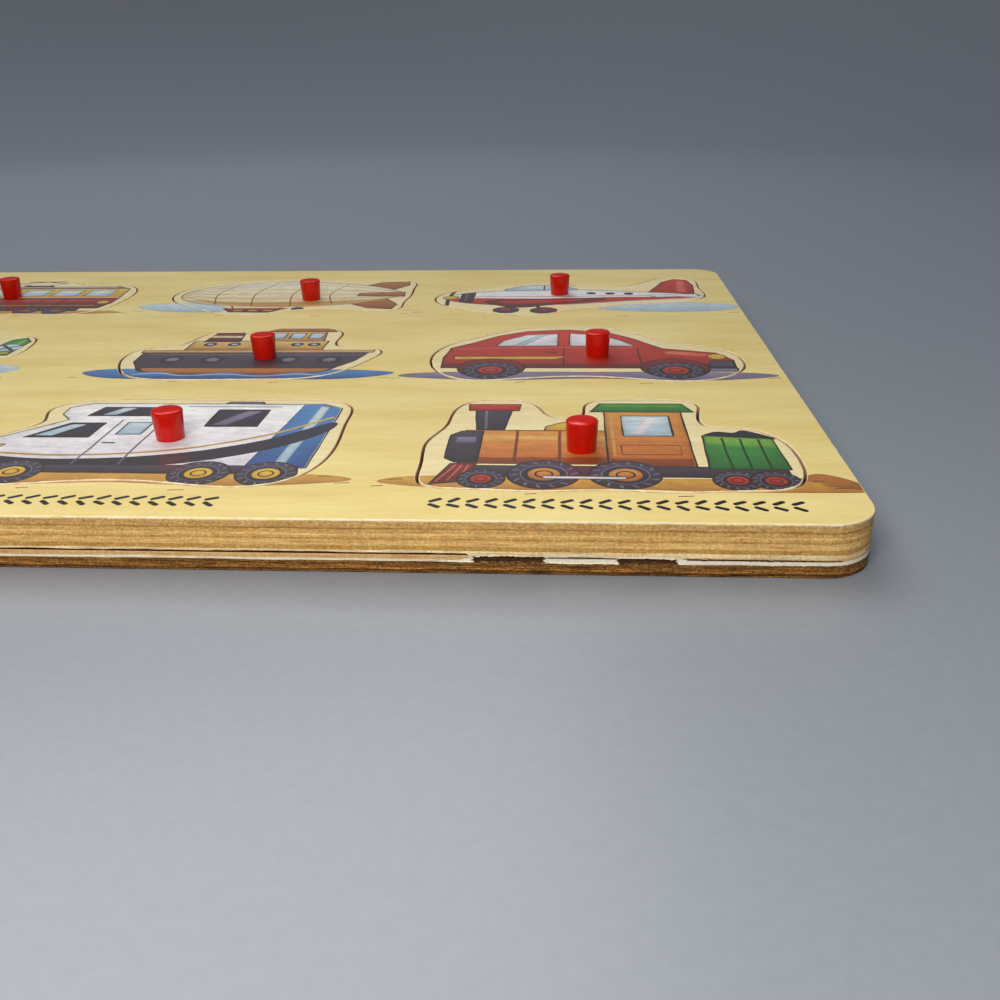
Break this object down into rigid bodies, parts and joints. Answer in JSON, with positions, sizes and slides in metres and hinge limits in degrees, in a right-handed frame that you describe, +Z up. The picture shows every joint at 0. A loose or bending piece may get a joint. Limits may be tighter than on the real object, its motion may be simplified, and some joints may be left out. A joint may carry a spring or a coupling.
{
  "type": "peg puzzle",
  "caption": "Wooden lift-out peg puzzle: vehicle-shaped plywood pieces with red moulded pegs sit flush in a sawn frame board glued to a backing board.",
  "frame": {"origin": "middle of the backing board's underside, where the puzzle rests on a table", "axes": "+X along the long side, left to right as the pictures are read; +Y from front to back; +Z up, the way the pieces lift out"},
  "size_m": [0.4, 0.298, 0.0232],
  "materials": {
    "printed_ply": "printed and lacquered face veneer on bare sawn plywood edges",
    "backing_ply": "bare sawn plywood with a pale face veneer",
    "red_plastic": "moulded, glossy"
  },
  "bodies": {
    "board": {"frame_board": "printed_ply", "backing_board": "backing_ply"},
    "pickup": {"pickup_piece": "printed_ply", "pickup_peg": "red_plastic"},
    "camper": {"camper_piece": "printed_ply", "camper_peg": "red_plastic"},
    "locomotive": {"locomotive_piece": "printed_ply", "locomotive_peg": "red_plastic"},
    "helicopter": {"helicopter_piece": "printed_ply", "helicopter_peg": "red_plastic"},
    "tugboat": {"tugboat_piece": "printed_ply", "tugboat_peg": "red_plastic"},
    "motorcar": {"motorcar_piece": "printed_ply", "motorcar_peg": "red_plastic"},
    "tramcar": {"tramcar_piece": "printed_ply", "tramcar_peg": "red_plastic"},
    "airship": {"airship_piece": "printed_ply", "airship_peg": "red_plastic"},
    "aeroplane": {"aeroplane_piece": "printed_ply", "aeroplane_peg": "red_plastic"}
  },
  "joints": [
    {"name": "pickup_lift", "type": "slide", "parent": "board", "child": "pickup", "axis": [0, 0, 1], "range_m": [0, 0.03]},
    {"name": "camper_lift", "type": "slide", "parent": "board", "child": "camper", "axis": [0, 0, 1], "range_m": [0, 0.03]},
    {"name": "locomotive_lift", "type": "slide", "parent": "board", "child": "locomotive", "axis": [0, 0, 1], "range_m": [0, 0.03]},
    {"name": "helicopter_lift", "type": "slide", "parent": "board", "child": "helicopter", "axis": [0, 0, 1], "range_m": [0, 0.03]},
    {"name": "tugboat_lift", "type": "slide", "parent": "board", "child": "tugboat", "axis": [0, 0, 1], "range_m": [0, 0.03]},
    {"name": "motorcar_lift", "type": "slide", "parent": "board", "child": "motorcar", "axis": [0, 0, 1], "range_m": [0, 0.03]},
    {"name": "tramcar_lift", "type": "slide", "parent": "board", "child": "tramcar", "axis": [0, 0, 1], "range_m": [0, 0.03]},
    {"name": "airship_lift", "type": "slide", "parent": "board", "child": "airship", "axis": [0, 0, 1], "range_m": [0, 0.03]},
    {"name": "aeroplane_lift", "type": "slide", "parent": "board", "child": "aeroplane", "axis": [0, 0, 1], "range_m": [0, 0.03]}
  ]
}
